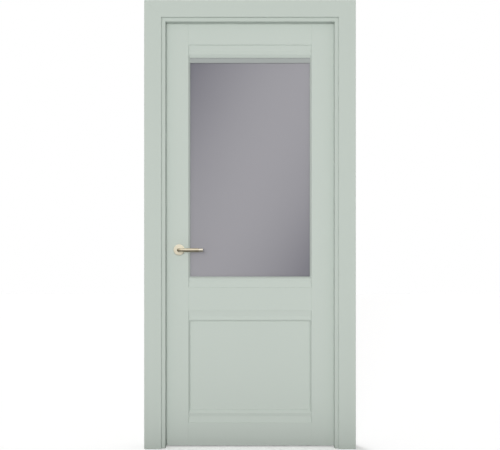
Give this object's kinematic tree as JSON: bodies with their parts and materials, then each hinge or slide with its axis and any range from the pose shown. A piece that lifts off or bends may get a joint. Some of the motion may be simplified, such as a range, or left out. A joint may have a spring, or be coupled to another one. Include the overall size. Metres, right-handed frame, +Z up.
{
  "type": "half-glazed interior door",
  "caption": "Single-leaf interior door in its frame: glazed above, panelled below, hung on butt hinges, with flat casings and lever handles on round roses.",
  "frame": {"origin": "middle of the closed leaf in plan, at floor level: the centre of the whole object's footprint", "axes": "+X across the door towards its hinges, +Y through the wall towards the side the leaf opens to, +Z up"},
  "size_m": [0.99, 0.16, 2.1],
  "materials": {
    "paint_leaf": "satin sage-green paint",
    "paint_frame": "satin sage-green paint",
    "dowel_beech": "raw turned beech",
    "glass_grey": "satin grey glass",
    "gasket_rubber": "matte grey-green rubber",
    "seal_rubber": "matte grey-green rubber",
    "handle_gold": "satin pale gold",
    "hinge_gold": "satin pale gold",
    "lock_steel": "zinc-plated",
    "screw_steel": "zinc-plated"
  },
  "bodies": {
    "frame": {"jamb_lock_side": "paint_frame", "jamb_hinge_side": "paint_frame", "jamb_head": "paint_frame", "seal_lock_side": "seal_rubber", "seal_hinge_side": "seal_rubber", "seal_head": "seal_rubber", "casing_front_left": "paint_frame", "casing_front_right": "paint_frame", "casing_front_head": "paint_frame", "casing_back_left": "paint_frame", "casing_back_right": "paint_frame", "casing_back_head": "paint_frame", "frame_corner_screws": "screw_steel", "strike_plate": "lock_steel", "strike_screws": "screw_steel", "hinge_top_frame_plate": "hinge_gold", "hinge_middle_frame_plate": "hinge_gold", "hinge_bottom_frame_plate": "hinge_gold", "hinge_top_pin": "hinge_gold", "hinge_middle_pin": "hinge_gold", "hinge_bottom_pin": "hinge_gold", "hinge_frame_screws": "hinge_gold"},
    "leaf": {"stile_lock_side": "paint_leaf", "stile_hinge_side": "paint_leaf", "rail_top": "paint_leaf", "rail_middle": "paint_leaf", "rail_bottom": "paint_leaf", "rail_dowels": "dowel_beech", "lower_panel": "paint_leaf", "glass_pane": "glass_grey", "glass_gasket": "gasket_rubber", "glazing_bead_front": "paint_leaf", "glazing_bead_back": "paint_leaf", "hinge_top_leaf_plate": "hinge_gold", "hinge_middle_leaf_plate": "hinge_gold", "hinge_bottom_leaf_plate": "hinge_gold", "hinge_leaf_screws": "hinge_gold", "lock_case": "lock_steel", "lock_cover": "lock_steel", "lock_forend": "handle_gold", "forend_screws": "handle_gold", "latch_spring": "lock_steel", "rose_base_front": "lock_steel", "rose_base_back": "lock_steel", "rose_cover_front": "handle_gold", "rose_cover_back": "handle_gold", "rose_bolts": "screw_steel"},
    "handles": {"lever_front": "handle_gold", "lever_back": "handle_gold", "spindle": "lock_steel", "lock_follower": "lock_steel", "grub_screws": "screw_steel"},
    "latch": {"latch_bolt": "lock_steel"}
  },
  "joints": [
    {"name": "leaf_swing", "type": "hinge", "parent": "frame", "child": "leaf", "pos_m": [0.4015, 0.027, 0], "axis": [0, 0, -1], "range_deg": [0, 170]},
    {"name": "handle_turn", "type": "hinge", "parent": "leaf", "child": "handles", "pos_m": [-0.335, 0, 0.93], "axis": [0, 1, 0], "range_deg": [0, 45], "stiffness_Nm_per_rad": 1, "springref_deg": -34.38},
    {"name": "latch_slide", "type": "slide", "parent": "leaf", "child": "latch", "axis": [1, 0, 0], "range_m": [0, 0.012], "deforming": ["latch_spring"]}
  ],
  "couplings": [
    {"joint": "latch_slide", "follows": "handle_turn", "m_per_rad": 0.015278}
  ]
}
